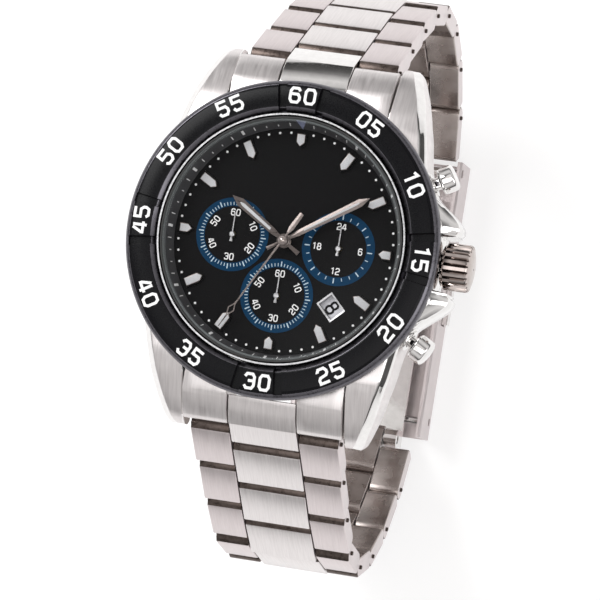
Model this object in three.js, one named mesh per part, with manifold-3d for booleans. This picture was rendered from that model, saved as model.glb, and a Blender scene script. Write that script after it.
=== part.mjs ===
// Chronograph wristwatch on a closed three-row steel bracelet with a folding clasp.
// Millimetres. Origin: centre of the caseback's outer face. +X to 3 o'clock (the crown),
// +Y to 12 o'clock, +Z out of the dial. The bracelet's loop hangs below the case and the
// clasp's cover is level at the bottom, so the watch stands on it with its dial up.
import * as THREE from "three";
import { mergeVertices } from "three/addons/utils/BufferGeometryUtils.js";
import Module from "manifold-3d";

const wasm = await Module();
wasm.setup();

// ---- driving dimensions ------------------------------------------------------------
const ROUND_SEGMENTS = 48; // rings round the dial's axis that fit closely, so their facets line up
const HIDDEN_SEGMENTS = 24; // rings with room round them

const BEZEL_R = 21.0;
const BEZEL_BORE_R = 16.72;
const BEZEL_BOTTOM_Z = 9.0;
const BEZEL_TOP_Z = 11.5;
const CASE_R = 20.3;
const CASE_BOTTOM_Z = 1.2;
const CASE_TOP_Z = 8.7;
const NECK_OUTER_R = 16.62;
const NECK_INNER_R = 16.25;
const NECK_TOP_Z = 11.2;
const MOVEMENT_BORE_R = 15.75;
const DIAL_SEAT_Z = 7.5;
const GASKET_RABBET_R = 16.75;
const GASKET_RABBET_Z = 1.75;

const LUG_GAP = 22.0;
const LUG_TIP_Y = 25.3;
const END_LINK_WIDTH = 21.7;
const SPRING_BAR_R = 0.7;
const SPRING_BAR_Y = 21.7;
const SPRING_BAR_Z = 3.4;
const SPRING_BAR_HOLE_R = 0.85;

const CROWN_Z = 5.0;
const CROWN_R = 3.15;
const CROWN_INNER_X = 20.7;
const CROWN_OUTER_X = 24.8;
const CROWN_FLUTES = 22;
const CROWN_FLUTE_DEPTH = 0.28;
const PUSHER_ANGLE = 30; // degrees above and below the crown
const PUSHER_CAP_R = 1.6;
const PUSHER_CAP_INNER = 21.6; // distance from the dial's axis
const PUSHER_CAP_OUTER = 23.8;
const PUSHER_COLLAR_OUTER = 20.8;
const PUSHER_COLLAR_R = 1.75;
const PUSHER_SHAFT_R = 0.8;

const DIAL_R = 16.1;
const DIAL_TOP_Z = 8.05;
const DIAL_BOTTOM_Z = 7.6;
const SUBDIAL_OFFSET = 7.2;
const INDEX_WIDTH = 1.4;
const INDEX_HEIGHT = 0.45;
const QUARTER_INDEX = { centreR: 13.45, length: 2.0 };
const HOUR_INDEX = { centreR: 13.05, length: 2.8 };
const DATE_CENTRE_R = 10.7;
const DATE_HALF_LENGTH = 1.35;
const DATE_HALF_HEIGHT = 1.05;
const DATE_ANGLE = -46; // degrees from 3 o'clock
const HAND_ANGLES = { hour: 303, minute: 56.4, seconds: 208.5 }; // clockwise from 12

const LINK_PITCH = 8.4;
const LINK_THICKNESS = 2.8;
const LINK_CENTRE_WIDTH = 9.2;
const LINK_ROW_GAP = 0.15;
const LINK_END = 1.66; // the end of a row beyond the hinge it turns on
const LINK_END_GAP = 0.2;
const PIN_R = 0.6;
const PIN_BORE_R = 0.75;
const LINK_WIDTHS = [20.2, 19.6, 19.2, 18.8, 18.5, 18.2, 18.0, 18.0];
const FIRST_HINGE = [24.9, 1.0]; // distance from the dial's axis along Y, and height
const SLOPES_6 = [56, 56, 60, 79, 103, 120, 136, 150]; // degrees below level, case to clasp
const SLOPES_12 = [60, 61, 66, 80, 98, 118, 138, 156];

const CLASP_OUTER_Z = -60.5;
const CLASP_FLOOR_Z = -59.7;
const CLASP_WALL_TOP_Z = -53.2;
const CLASP_HALF_WIDTH = 9.9;
const CLASP_INNER_HALF_WIDTH = 9.2;
const CLASP_START_Y = -19.9;
const CLASP_END_Y = 20.6;
const COVER_HINGE = [-17.3, -58.6];
const MIDDLE_HINGE = [14.8, -57.8];
const CLASP_PIN_R = 0.5;
const CLASP_KNUCKLE_R = 0.95;
const BUTTON_HALF_LENGTH = 3.0;

// ---- helpers -----------------------------------------------------------------------
const rad = THREE.MathUtils.degToRad;

function toSolid(geometry) {
  const flat = geometry.index ? geometry.toNonIndexed() : geometry;
  const bare = new THREE.BufferGeometry();
  bare.setAttribute("position", flat.getAttribute("position"));
  const merged = mergeVertices(bare, 1e-4);
  const index = merged.index.array;
  const triangles = [];
  for (let i = 0; i < index.length; i += 3) {
    const [a, b, c] = [index[i], index[i + 1], index[i + 2]];
    if (a !== b && b !== c && c !== a) triangles.push(a, b, c);
  }
  const vertProperties = merged.getAttribute("position").array;
  const build = (list) =>
    new wasm.Manifold(
      new wasm.Mesh({ numProp: 3, vertProperties, triVerts: new Uint32Array(list) }),
    );
  const solid = build(triangles);
  if (solid.volume() >= 0) return solid;
  for (let i = 0; i < triangles.length; i += 3)
    [triangles[i + 1], triangles[i + 2]] = [triangles[i + 2], triangles[i + 1]];
  return build(triangles);
}

function toGeometry(solid) {
  const mesh = solid.getMesh();
  const positions = new Float32Array(mesh.numVert * 3);
  for (let i = 0; i < mesh.numVert; i++)
    positions.set(mesh.vertProperties.subarray(i * mesh.numProp, i * mesh.numProp + 3), i * 3);
  const geometry = new THREE.BufferGeometry();
  geometry.setAttribute("position", new THREE.BufferAttribute(positions, 3));
  geometry.setIndex(new THREE.BufferAttribute(mesh.triVerts, 1));
  geometry.computeVertexNormals();
  return geometry;
}

const join = (...solids) => wasm.Manifold.union(solids);
const cut = (solid, ...tools) => solid.subtract(wasm.Manifold.union(tools));

// A solid of revolution about Z from a closed profile of [radius, height] points.
function turned(profile, segments = ROUND_SEGMENTS) {
  const points = [...profile, profile[0]].map(([r, z]) => new THREE.Vector2(r, z));
  return toSolid(new THREE.LatheGeometry(points, segments).rotateX(Math.PI / 2));
}

// A plain cylinder about Z between two heights.
function drum(radius, z0, z1, segments = ROUND_SEGMENTS) {
  const profile = [
    [0, z0],
    [radius, z0],
    [radius, z1],
    [0, z1],
  ];
  return turned(profile, segments);
}

// A prism about Z from plan points [x, y] between two heights.
function slab(points, z0, z1) {
  const shape = new THREE.Shape(points.map(([x, y]) => new THREE.Vector2(x, y)));
  const geometry = new THREE.ExtrudeGeometry(shape, { depth: z1 - z0, bevelEnabled: false });
  return toSolid(geometry.translate(0, 0, z0));
}

// A prism along X from side points [y, z] between two positions on X.
function bar(points, x0, x1) {
  const shape = new THREE.Shape(points.map(([y, z]) => new THREE.Vector2(y, z)));
  const geometry = new THREE.ExtrudeGeometry(shape, { depth: x1 - x0, bevelEnabled: false });
  const axes = new THREE.Matrix4().makeBasis(
    new THREE.Vector3(0, 1, 0),
    new THREE.Vector3(0, 0, 1),
    new THREE.Vector3(1, 0, 0),
  );
  return toSolid(geometry.applyMatrix4(axes).translate(x0, 0, 0));
}

// A round pin or bore along X at height z and position y.
function crossPin(radius, y, z, x0, x1, segments = 10) {
  const geometry = new THREE.CylinderGeometry(radius, radius, x1 - x0, segments);
  return toSolid(geometry.rotateZ(Math.PI / 2).translate((x0 + x1) / 2, y, z));
}

// A solid of revolution built about Z, laid to point away from the dial's axis at an angle
// from 3 o'clock and at the crown's height.
function radial(solid, angle) {
  return solid.rotate([0, 90, 0]).rotate([0, 0, angle]).translate([0, 0, CROWN_Z]);
}

const group = new THREE.Group();
const FINISHES = {
  steel: { color: 0xc9c4c2, roughness: 0.32, metalness: 1 },
  polished: { color: 0xdedbd8, roughness: 0.1, metalness: 1 },
  black: { color: 0x1a1a1e, roughness: 0.3, metalness: 0.4 },
  dial: { color: 0x0c0c0e, roughness: 0.6, metalness: 0 },
  glass: { color: 0xf4f8fa, roughness: 0.02, metalness: 0, transparent: true, opacity: 0.15 },
  rubber: { color: 0x1b1b1b, roughness: 0.8, metalness: 0 },
  brass: { color: 0xb59a5a, roughness: 0.3, metalness: 1 },
  white: { color: 0xe4e4e0, roughness: 0.5, metalness: 0 },
};

function add(name, solid, finish, parent = group) {
  const material = new THREE.MeshStandardMaterial(FINISHES[finish]);
  const mesh = new THREE.Mesh(toGeometry(solid), material);
  mesh.name = name;
  parent.add(mesh);
  return mesh;
}

// ---- case --------------------------------------------------------------------------
const caseRing = turned([
  [GASKET_RABBET_R, CASE_BOTTOM_Z],
  [19.6, CASE_BOTTOM_Z],
  [CASE_R, 2.4],
  [CASE_R, 8.2],
  [19.9, CASE_TOP_Z],
  [NECK_OUTER_R, CASE_TOP_Z],
  [NECK_OUTER_R, NECK_TOP_Z],
  [NECK_INNER_R, NECK_TOP_Z],
  [NECK_INNER_R, DIAL_SEAT_Z],
  [MOVEMENT_BORE_R, DIAL_SEAT_Z],
  [MOVEMENT_BORE_R, GASKET_RABBET_Z],
  [GASKET_RABBET_R, GASKET_RABBET_Z],
]);

// Plan outline of the lugs, flanks and crown guards, from 12 o'clock to 3 o'clock.
const crownSideOutline = [
  [12.6, LUG_TIP_Y],
  [13.6, 24.5],
  [14.2, 23.2],
  [15.5, 19.5],
  [16.3, 16.4],
  [17.2, 12.7],
  [18.2, 9.6],
  [20.7, 7.2],
  [22.2, 5.8],
  [22.7, 4.6],
  [22.3, 3.7],
  [20.0, 3.6],
];
const plainSideOutline = [
  [12.6, LUG_TIP_Y],
  [13.6, 24.5],
  [14.2, 23.2],
  [15.5, 19.5],
  [16.3, 16.4],
  [17.2, 12.7],
  [18.6, 8.4],
  [19.8, 4.0],
];
const outline = [
  ...crownSideOutline,
  ...crownSideOutline.toReversed().map(([x, y]) => [x, -y]),
  ...plainSideOutline.map(([x, y]) => [-x, -y]),
  ...plainSideOutline.toReversed().map(([x, y]) => [-x, y]),
];
// Side view of a lug: [distance along Y, height], over the top and back underneath.
const lugSide = [
  [17.5, 8.35],
  [20.0, 6.8],
  [22.5, 5.3],
  [24.3, 4.0],
  [25.1, 2.7],
  [LUG_TIP_Y, 0.6],
  [24.6, -0.6],
  [22.0, -0.1],
  [18.0, CASE_BOTTOM_Z],
];
const caseSide = [
  ...lugSide,
  ...lugSide.toReversed().map(([y, z]) => [-y, z]),
];
const lugGap = (sign) =>
  slab(
    [
      [-LUG_GAP / 2, sign * 10],
      [LUG_GAP / 2, sign * 10],
      [LUG_GAP / 2, sign * 30],
      [-LUG_GAP / 2, sign * 30],
    ],
    -2,
    12,
  );
const lugs = cut(
  slab(outline, -2, 8.35).intersect(bar(caseSide, -30, 30)),
  drum(19.0, -3, 12),
  lugGap(1),
  lugGap(-1),
);
const lugHole = (y, side) =>
  crossPin(SPRING_BAR_HOLE_R, y, SPRING_BAR_Z, side * 10.5, side * 12.2);
const pusherHole = (angle) =>
  radial(join(drum(1.6, 14, 20.5, 16), drum(1.95, 19.9, 26, 24)), angle);
add(
  "case_body",
  cut(
    join(caseRing, lugs),
    lugHole(SPRING_BAR_Y, 1),
    lugHole(-SPRING_BAR_Y, 1),
    lugHole(SPRING_BAR_Y, -1),
    lugHole(-SPRING_BAR_Y, -1),
    radial(drum(1.45, 14, 22, 16), 0),
    pusherHole(PUSHER_ANGLE),
    pusherHole(-PUSHER_ANGLE),
  ),
  "steel",
);

const backNotch = (angle) =>
  slab(
    [
      [15.6, -0.9],
      [18.0, -0.9],
      [18.0, 0.9],
      [15.6, 0.9],
    ],
    -1,
    0.6,
  ).rotate([0, 0, angle]);
const BACK_NOTCHES = 6;
add(
  "caseback",
  cut(
    turned([
      [0, 0],
      [16.6, 0],
      [17.2, 0.5],
      [17.2, 1.1],
      [15.6, 1.1],
      [15.6, 2.3],
      [14.4, 2.3],
      [14.4, 1.3],
      [0, 1.3],
    ]),
    ...Array.from({ length: BACK_NOTCHES }, (_, i) => backNotch((i * 360) / BACK_NOTCHES)),
  ),
  "steel",
);
const ring = (r0, r1, z0, z1, segments = HIDDEN_SEGMENTS) => {
  const profile = [
    [r0, z0],
    [r1, z0],
    [r1, z1],
    [r0, z1],
  ];
  return turned(profile, segments);
};
add("caseback_gasket", ring(15.9, 16.55, 1.2, 1.65), "rubber");

// ---- bezel, crystal and dial ---------------------------------------------------------
add(
  "bezel",
  turned([
    [BEZEL_BORE_R, BEZEL_BOTTOM_Z],
    [18.0, BEZEL_BOTTOM_Z],
    [18.0, 9.7],
    [19.0, 9.7],
    [19.0, BEZEL_BOTTOM_Z],
    [20.7, BEZEL_BOTTOM_Z],
    [BEZEL_R, 9.3],
    [BEZEL_R, 10.5],
    [20.3, 11.3],
    [17.1, BEZEL_TOP_Z],
    [BEZEL_BORE_R, 11.0],
  ]),
  "black",
);
add("bezel_spring", ring(18.3, 18.7, 8.95, 9.3), "polished");
add("crystal", ring(0, 15.85, 10.4, 11.4, ROUND_SEGMENTS), "glass");
add("crystal_gasket", ring(15.95, 16.15, 10.3, 11.15, ROUND_SEGMENTS), "rubber");
add(
  "chapter_ring",
  turned([
    [15.0, 8.15],
    [16.1, 8.15],
    [16.1, 10.15],
    [15.9, 10.15],
  ]),
  "black",
);

function hourIndex(hour) {
  const { centreR, length } = hour % 3 === 0 ? QUARTER_INDEX : HOUR_INDEX;
  const half = INDEX_WIDTH / 2;
  const outer = centreR + length / 2;
  const inner = centreR - length / 2;
  const points = [
    [-half, outer],
    [-half, inner + half],
    [0, inner],
    [half, inner + half],
    [half, outer],
  ];
  return slab(points, DIAL_TOP_Z - 0.1, DIAL_TOP_Z + INDEX_HEIGHT).rotate([0, 0, -hour * 30]);
}
const subdials = {
  left: [-SUBDIAL_OFFSET, 0],
  right: [SUBDIAL_OFFSET, 0],
  bottom: [0, -SUBDIAL_OFFSET],
};
const dateWindow = slab(
  [
    [DATE_CENTRE_R - DATE_HALF_LENGTH, -DATE_HALF_HEIGHT],
    [DATE_CENTRE_R + DATE_HALF_LENGTH, -DATE_HALF_HEIGHT],
    [DATE_CENTRE_R + DATE_HALF_LENGTH, DATE_HALF_HEIGHT],
    [DATE_CENTRE_R - DATE_HALF_LENGTH, DATE_HALF_HEIGHT],
  ],
  7,
  9,
).rotate([0, 0, DATE_ANGLE]);
const postHole = ([x, y]) => drum(0.5, 7, 9, 10).translate([x, y, 0]);
const CENTRE_HOLE_R = 0.8;
add(
  "dial",
  cut(
    join(
      drum(DIAL_R, DIAL_BOTTOM_Z, DIAL_TOP_Z),
      ...Array.from({ length: 12 }, (_, hour) => hourIndex(hour)),
    ),
    dateWindow,
    drum(CENTRE_HOLE_R, 7, 9, 16),
    ...Object.values(subdials).map(postHole),
  ),
  "dial",
);
add("date_ring", ring(8.5, 12.3, 6.85, 7.15), "white");
add("movement_holder", ring(14.75, 15.6, 3.0, 7.35), "white");
const BATTERY_PLACE = [-6, 5, 0];
const WHEEL = { r: 2.9, z0: 5.7, z1: 6.3 };
const wheelPocket = ([x, y]) => drum(3.2, 5.4, 9, HIDDEN_SEGMENTS).translate([x, y, 0]);
add(
  "movement_plate",
  join(
    cut(
      drum(14.5, 2.9, 6.6, HIDDEN_SEGMENTS),
      drum(4.95, 2, 5, 24).translate(BATTERY_PLACE),
      wheelPocket([0, 0]),
      ...Object.values(subdials).map(wheelPocket),
    ),
    drum(0.3, 5, 9.72, 10),
  ),
  "brass",
);
add(
  "hour_wheel",
  cut(
    join(drum(WHEEL.r, WHEEL.z0, WHEEL.z1, HIDDEN_SEGMENTS), drum(0.62, WHEEL.z0, 8.8, 12)),
    drum(0.42, 5, 9, 12),
  ),
  "brass",
);
const wheel = ([x, y]) =>
  join(
    drum(WHEEL.r, WHEEL.z0, WHEEL.z1, HIDDEN_SEGMENTS),
    drum(0.3, WHEEL.z0, 8.28, 10),
  ).translate([x, y, 0]);
add("chrono_minutes_wheel", wheel(subdials.left), "brass");
add("hour24_wheel", wheel(subdials.right), "brass");
add("small_seconds_wheel", wheel(subdials.bottom), "brass");
add("battery", drum(4.75, 2.6, 4.8, 24).translate(BATTERY_PLACE), "polished");

// ---- hands ---------------------------------------------------------------------------
// Half-width at each distance along the hand, mirrored to a closed outline about +Y.
function handOutline(halfWidths) {
  const right = halfWidths.map(([y, x]) => [x, y]);
  const left = halfWidths
    .filter(([, x]) => x > 0)
    .toReversed()
    .map(([y, x]) => [-x, y]);
  return [...right, ...left];
}
function hand(halfWidths, hubR, z0, z1, angle, boreR = 0) {
  const blank = join(slab(handOutline(halfWidths), z0, z1), drum(hubR, z0, z1, 20));
  const bored = boreR > 0 ? cut(blank, drum(boreR, z0 - 1, z1 + 1, 10)) : blank;
  return bored.rotate([0, 0, -angle]);
}
const hourWidths = [
  [-2.6, 0.3],
  [0, 0.24],
  [1.8, 0.52],
  [7.9, 0.58],
  [9.25, 0],
];
const minuteWidths = [
  [-2.4, 0.26],
  [0, 0.22],
  [2.0, 0.46],
  [11.3, 0.52],
  [12.7, 0],
];
const secondsWidths = [
  [-4.3, 0.34],
  [-1.2, 0.16],
  [10.3, 0.1],
  [11.2, 0.42],
  [12.2, 0.1],
  [14.0, 0.06],
];
const smallWidths = [
  [-0.9, 0.22],
  [0, 0.1],
  [2.9, 0.05],
];
add("hour_hand", hand(hourWidths, 0.95, 8.9, 9.1, HAND_ANGLES.hour, 0.42), "polished");
add("minute_hand", hand(minuteWidths, 0.85, 9.35, 9.55, HAND_ANGLES.minute, 0.42), "polished");
add("chrono_seconds_hand", hand(secondsWidths, 0.8, 9.8, 9.95, HAND_ANGLES.seconds), "polished");
const smallHand = (place) => hand(smallWidths, 0.4, 8.36, 8.5, 0).translate([...place, 0]);
add("chrono_minutes_hand", smallHand(subdials.left), "polished");
add("small_seconds_hand", smallHand(subdials.bottom), "polished");
add("hour24_hand", smallHand(subdials.right), "polished");

// ---- crown and pushers ---------------------------------------------------------------
const flutePoints = Array.from({ length: CROWN_FLUTES * 2 }, (_, i) => {
  const r = i % 2 ? CROWN_R - CROWN_FLUTE_DEPTH : CROWN_R;
  const a = (i * Math.PI) / CROWN_FLUTES;
  return [r * Math.cos(a), r * Math.sin(a)];
});
add(
  "crown",
  radial(
    cut(
      join(
        drum(2.65, CROWN_INNER_X, CROWN_OUTER_X, 26),
        slab(flutePoints, CROWN_INNER_X + 0.3, CROWN_OUTER_X - 0.3),
      ),
      drum(1.7, 20, 22.4, 20),
      drum(0.6, 22, 23.4, 12),
    ),
    0,
  ),
  "steel",
);
add("crown_stem", radial(drum(0.45, 16.3, 23.2, 12), 0), "steel");
add("crown_tube", radial(cut(drum(1.3, 17.4, 21.6, 16), drum(0.7, 17, 22, 12)), 0), "steel");
for (const [name, angle] of [
  ["upper", PUSHER_ANGLE],
  ["lower", -PUSHER_ANGLE],
]) {
  const cap = turned(
    [
      [0, 17.6],
      [PUSHER_SHAFT_R, 17.6],
      [PUSHER_SHAFT_R, PUSHER_CAP_INNER],
      [PUSHER_CAP_R, PUSHER_CAP_INNER],
      [PUSHER_CAP_R, PUSHER_CAP_OUTER - 0.3],
      [PUSHER_CAP_R - 0.3, PUSHER_CAP_OUTER],
      [0, PUSHER_CAP_OUTER],
    ],
    24,
  );
  add(`pusher_${name}`, radial(cap, angle), "polished");
  const collar = cut(
    join(drum(1.45, 17.8, 20.4, 24), drum(PUSHER_COLLAR_R, 20.1, PUSHER_COLLAR_OUTER, 24)),
    drum(0.95, 17, 22, 24),
  );
  add(`pusher_tube_${name}`, radial(collar, angle), "polished");
}

// ---- end links -----------------------------------------------------------------------
// A link's own frame starts at its hinge nearest the case: +Y runs towards the clasp and +Z
// points away from the wrist. The slope is how far +Y falls below level.
function sloped(points, [y0, z0], slope) {
  const c = Math.cos(rad(slope));
  const k = Math.sin(rad(slope));
  return points.map(([s, n]) => [y0 + s * c + n * k, z0 - s * k + n * c]);
}
const HALF_T = LINK_THICKNESS / 2;
// The rounded end of a link's row, from its outer face round to its inner face.
const nose = (end) => [
  [end - 0.8, HALF_T],
  [end - 0.15, HALF_T - 0.35],
  [end, -0.1],
  [end - 0.4, -HALF_T + 0.4],
  [end - 1.3, -HALF_T],
];
function endLink(slope) {
  const knuckle = sloped([[-2.6, HALF_T], ...nose(LINK_END), [-2.0, -HALF_T]], FIRST_HINGE, slope);
  const [hingeY, hingeZ] = FIRST_HINGE;
  const relief = [85, 110, 135, 160].map((angle) => [
    hingeY + 2.3 * Math.cos(rad(angle)),
    hingeZ + 2.3 * Math.sin(rad(angle)),
  ]);
  const wing = [
    [17.0, 7.4],
    [20.9, 7.2],
    [22.6, 5.9],
    [24.0, 4.7],
    ...relief,
    [22.2, 1.2],
    [17.0, 1.6],
  ];
  const middle = [
    [17.0, 5.4],
    [22.1, 5.4],
    [22.2, 6.4],
    [23.0, 5.7],
    [24.7, 3.9],
    [24.0, 0.6],
    [22.2, 1.2],
    [17.0, 1.6],
  ];
  const half = END_LINK_WIDTH / 2;
  const centre = LINK_CENTRE_WIDTH / 2;
  return cut(
    join(bar(wing, -half, half), bar(middle, -centre, centre), bar(knuckle, -centre, centre)),
    drum(20.6, -5, 12),
    crossPin(PIN_BORE_R, hingeY, hingeZ, -20, 20),
    crossPin(SPRING_BAR_HOLE_R, SPRING_BAR_Y, SPRING_BAR_Z, -20, 20),
  );
}
// Each half of the bracelet is built as the 12 o'clock half, and the other is turned round.
const braceletHalves = { 12: new THREE.Group(), 6: new THREE.Group() };
braceletHalves[6].rotation.z = Math.PI;
group.add(braceletHalves[12], braceletHalves[6]);
const springBar = join(
  crossPin(SPRING_BAR_R, SPRING_BAR_Y, SPRING_BAR_Z, -10.7, 10.7, 10),
  crossPin(0.4, SPRING_BAR_Y, SPRING_BAR_Z, -11.9, 11.9, 8),
);
add("end_link_12", endLink(SLOPES_12[0]), "steel", braceletHalves[12]);
add("end_link_6", endLink(SLOPES_6[0]), "steel", braceletHalves[6]);
add("spring_bar_12", springBar, "polished", braceletHalves[12]);
add("spring_bar_6", springBar, "polished", braceletHalves[6]);
const [FIRST_Y, FIRST_Z] = FIRST_HINGE;
add("end_link_pin_12", crossPin(PIN_R, FIRST_Y, FIRST_Z, -4.5, 4.5, 8), "polished");

// ---- bracelet links ------------------------------------------------------------------
const mirrored = (points, about) => points.toReversed().map(([s, n]) => [about - s, n]);
const rowOutline = (start, end) => [
  ...nose(end),
  ...mirrored(nose(0), start),
];

function link(index, withPin) {
  const half = LINK_WIDTHS[index] / 2;
  const centreHalf = LINK_CENTRE_WIDTH / 2;
  const inner = centreHalf + LINK_ROW_GAP;
  const outer = rowOutline(-LINK_END, LINK_PITCH - LINK_END - LINK_END_GAP);
  const centre = rowOutline(LINK_END + LINK_END_GAP, LINK_PITCH + LINK_END);
  const pieces = [
    bar(outer, -half, -inner),
    bar(outer, inner, half),
    bar(centre, -centreHalf, centreHalf),
    crossPin(PIN_R, LINK_PITCH / 2, 0, 0.6 - half, half - 0.6, 6),
  ];
  if (withPin) pieces.push(crossPin(PIN_R, 0, 0, 0.6 - half, half - 0.6, 8));
  return cut(join(...pieces), crossPin(PIN_BORE_R, LINK_PITCH, 0, -6, 6, 8));
}

function nextHinge([y, z], slope) {
  return [y + LINK_PITCH * Math.cos(rad(slope)), z - LINK_PITCH * Math.sin(rad(slope))];
}
function strand(half, slopes, firstCarriesPin) {
  let hinge = FIRST_HINGE;
  slopes.forEach((slope, i) => {
    const body = link(i, firstCarriesPin || i > 0);
    const mesh = add(`link_${half}_${i + 1}`, body, "steel", braceletHalves[half]);
    mesh.position.set(0, ...hinge);
    mesh.rotation.x = -rad(slope);
    hinge = nextHinge(hinge, slope);
  });
  return hinge;
}

// ---- folding clasp -------------------------------------------------------------------
const [endDistance, endZ] = strand(6, SLOPES_6, true);
const endY = -endDistance;
const [topY, topZ] = strand(12, SLOPES_12, false);
const [coverY, coverZ] = COVER_HINGE;
const [middleY, middleZ] = MIDDLE_HINGE;

const coverSection = [
  [-CLASP_HALF_WIDTH, CLASP_OUTER_Z + 0.6],
  [-CLASP_HALF_WIDTH + 0.6, CLASP_OUTER_Z],
  [CLASP_HALF_WIDTH - 0.6, CLASP_OUTER_Z],
  [CLASP_HALF_WIDTH, CLASP_OUTER_Z + 0.6],
  [CLASP_HALF_WIDTH, CLASP_WALL_TOP_Z - 0.3],
  [CLASP_HALF_WIDTH - 0.3, CLASP_WALL_TOP_Z],
  [CLASP_INNER_HALF_WIDTH, CLASP_WALL_TOP_Z],
  [CLASP_INNER_HALF_WIDTH, CLASP_FLOOR_Z],
  [-CLASP_INNER_HALF_WIDTH, CLASP_FLOOR_Z],
  [-CLASP_INNER_HALF_WIDTH, CLASP_WALL_TOP_Z],
  [-CLASP_HALF_WIDTH + 0.3, CLASP_WALL_TOP_Z],
  [-CLASP_HALF_WIDTH, CLASP_WALL_TOP_Z - 0.3],
];
const coverShape = new THREE.Shape(coverSection.map(([x, z]) => new THREE.Vector2(x, z)));
const coverBlank = toSolid(
  new THREE.ExtrudeGeometry(coverShape, {
    depth: CLASP_END_Y - CLASP_START_Y,
    bevelEnabled: false,
  })
    .rotateX(Math.PI / 2)
    .translate(0, CLASP_END_Y, 0),
);
const box = (x0, x1, y0, y1, z0, z1) =>
  slab(
    [
      [x0, y0],
      [x1, y0],
      [x1, y1],
      [x0, y1],
    ],
    z0,
    z1,
  );
const BUTTON_LOW_Z = -58.3;
const BUTTON_HIGH_Z = -56.5;
add(
  "clasp_cover",
  cut(
    coverBlank,
    crossPin(CLASP_PIN_R + 0.08, coverY, coverZ, -20, 20),
    crossPin(PIN_R + 0.08, topY, topZ, -20, 20),
    box(
      -20,
      20,
      -BUTTON_HALF_LENGTH - 0.2,
      BUTTON_HALF_LENGTH + 0.2,
      BUTTON_LOW_Z - 0.2,
      BUTTON_HIGH_Z + 0.2,
    ),
  ),
  "polished",
);
add("clasp_pin_cover", crossPin(CLASP_PIN_R, coverY, coverZ, -9.7, 9.7, 12), "polished");
add("clasp_spring_bar", crossPin(PIN_R, topY, topZ, -9.7, 9.7, 12), "polished");
for (const [name, side] of [
  ["left", -1],
  ["right", 1],
]) {
  const xs = [side * 8.6, side * 10.7].toSorted((a, b) => a - b);
  const button = box(
    ...xs,
    -BUTTON_HALF_LENGTH,
    BUTTON_HALF_LENGTH,
    BUTTON_LOW_Z,
    BUTTON_HIGH_Z,
  );
  add(`clasp_button_${name}`, button, "polished");
}

// The outer blade runs from the cover's hinge to the middle hinge, under the inner blade.
const OUTER_BLADE = { half: 6.0, z0: -58.9, z1: -58.2 };
add(
  "clasp_blade_outer",
  cut(
    join(
      box(-OUTER_BLADE.half, OUTER_BLADE.half, coverY, middleY - 1.6, OUTER_BLADE.z0, OUTER_BLADE.z1),
      crossPin(CLASP_KNUCKLE_R, coverY, coverZ, -OUTER_BLADE.half, OUTER_BLADE.half, 16),
      box(-2.5, 2.5, middleY - 2, middleY, OUTER_BLADE.z0 + 0.2, -57.6),
      crossPin(CLASP_KNUCKLE_R, middleY, middleZ, -2.5, 2.5, 16),
    ),
    crossPin(CLASP_PIN_R + 0.1, coverY, coverZ, -20, 20),
    crossPin(CLASP_PIN_R + 0.1, middleY, middleZ, -20, 20),
  ),
  "polished",
);
const INNER_BLADE = { half: 6.6, z0: -57.3, z1: -56.6 };
const EAR_INNER = 4.8;
const ear = (side) => {
  const xs = [side * EAR_INNER, side * INNER_BLADE.half].toSorted((a, b) => a - b);
  return join(
    crossPin(1.4, endY, endZ, ...xs, 16),
    box(...xs, endY - 1.0, endY + 1.4, INNER_BLADE.z0, endZ),
  );
};
const middleEar = (side) => {
  const xs = [side * 2.8, side * INNER_BLADE.half].toSorted((a, b) => a - b);
  return crossPin(CLASP_KNUCKLE_R, middleY, middleZ, ...xs, 16);
};
add(
  "clasp_blade_inner",
  cut(
    join(
      box(
        -INNER_BLADE.half,
        INNER_BLADE.half,
        endY - 1.0,
        middleY,
        INNER_BLADE.z0,
        INNER_BLADE.z1,
      ),
      ear(1),
      ear(-1),
      middleEar(1),
      middleEar(-1),
    ),
    box(-2.8, 2.8, middleY - 1.6, middleY + 2, -60, -56),
    box(-1.6, 1.6, -6, 6, -60, -56),
    crossPin(CLASP_PIN_R + 0.08, middleY, middleZ, -20, 20),
    crossPin(PIN_R + 0.08, endY, endZ, -20, 20),
  ),
  "polished",
);
add("clasp_pin_middle", crossPin(CLASP_PIN_R, middleY, middleZ, -6.5, 6.5, 12), "polished");
add("clasp_end_pin", crossPin(PIN_R, endY, endZ, -6.5, 6.5, 12), "polished");

export default group;
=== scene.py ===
import math

import bmesh
import bpy
from mathutils import Matrix, Vector


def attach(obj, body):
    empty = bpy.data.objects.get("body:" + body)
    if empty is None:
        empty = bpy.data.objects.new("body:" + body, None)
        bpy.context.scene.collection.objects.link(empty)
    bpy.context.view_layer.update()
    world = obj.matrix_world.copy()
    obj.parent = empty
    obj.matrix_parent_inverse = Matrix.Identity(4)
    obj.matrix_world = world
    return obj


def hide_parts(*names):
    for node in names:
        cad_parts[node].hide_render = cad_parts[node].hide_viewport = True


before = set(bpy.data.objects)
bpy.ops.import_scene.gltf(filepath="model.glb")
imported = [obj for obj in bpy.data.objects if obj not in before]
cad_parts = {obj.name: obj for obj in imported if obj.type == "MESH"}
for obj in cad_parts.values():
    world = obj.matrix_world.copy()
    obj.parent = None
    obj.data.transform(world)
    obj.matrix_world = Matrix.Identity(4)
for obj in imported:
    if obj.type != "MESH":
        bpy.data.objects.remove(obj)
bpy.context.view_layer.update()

MM = 0.001
SCENE = bpy.context.scene
SCENE.view_settings.view_transform = "Standard"


# ---- mesh helpers, all in millimetres ----
def cos_sin(degrees):
    a = math.radians(degrees)
    return math.cos(a), math.sin(a)


def clock_point(r, angle):
    """A point of the dial: angle runs clockwise from 12."""
    c, k = cos_sin(angle)
    return (r * k, r * c)


def clock_axes(angle):
    """Unit vectors out along a clock direction, and clockwise across it."""
    c, k = cos_sin(angle)
    return Vector((k, c)), Vector((c, -k))


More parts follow.
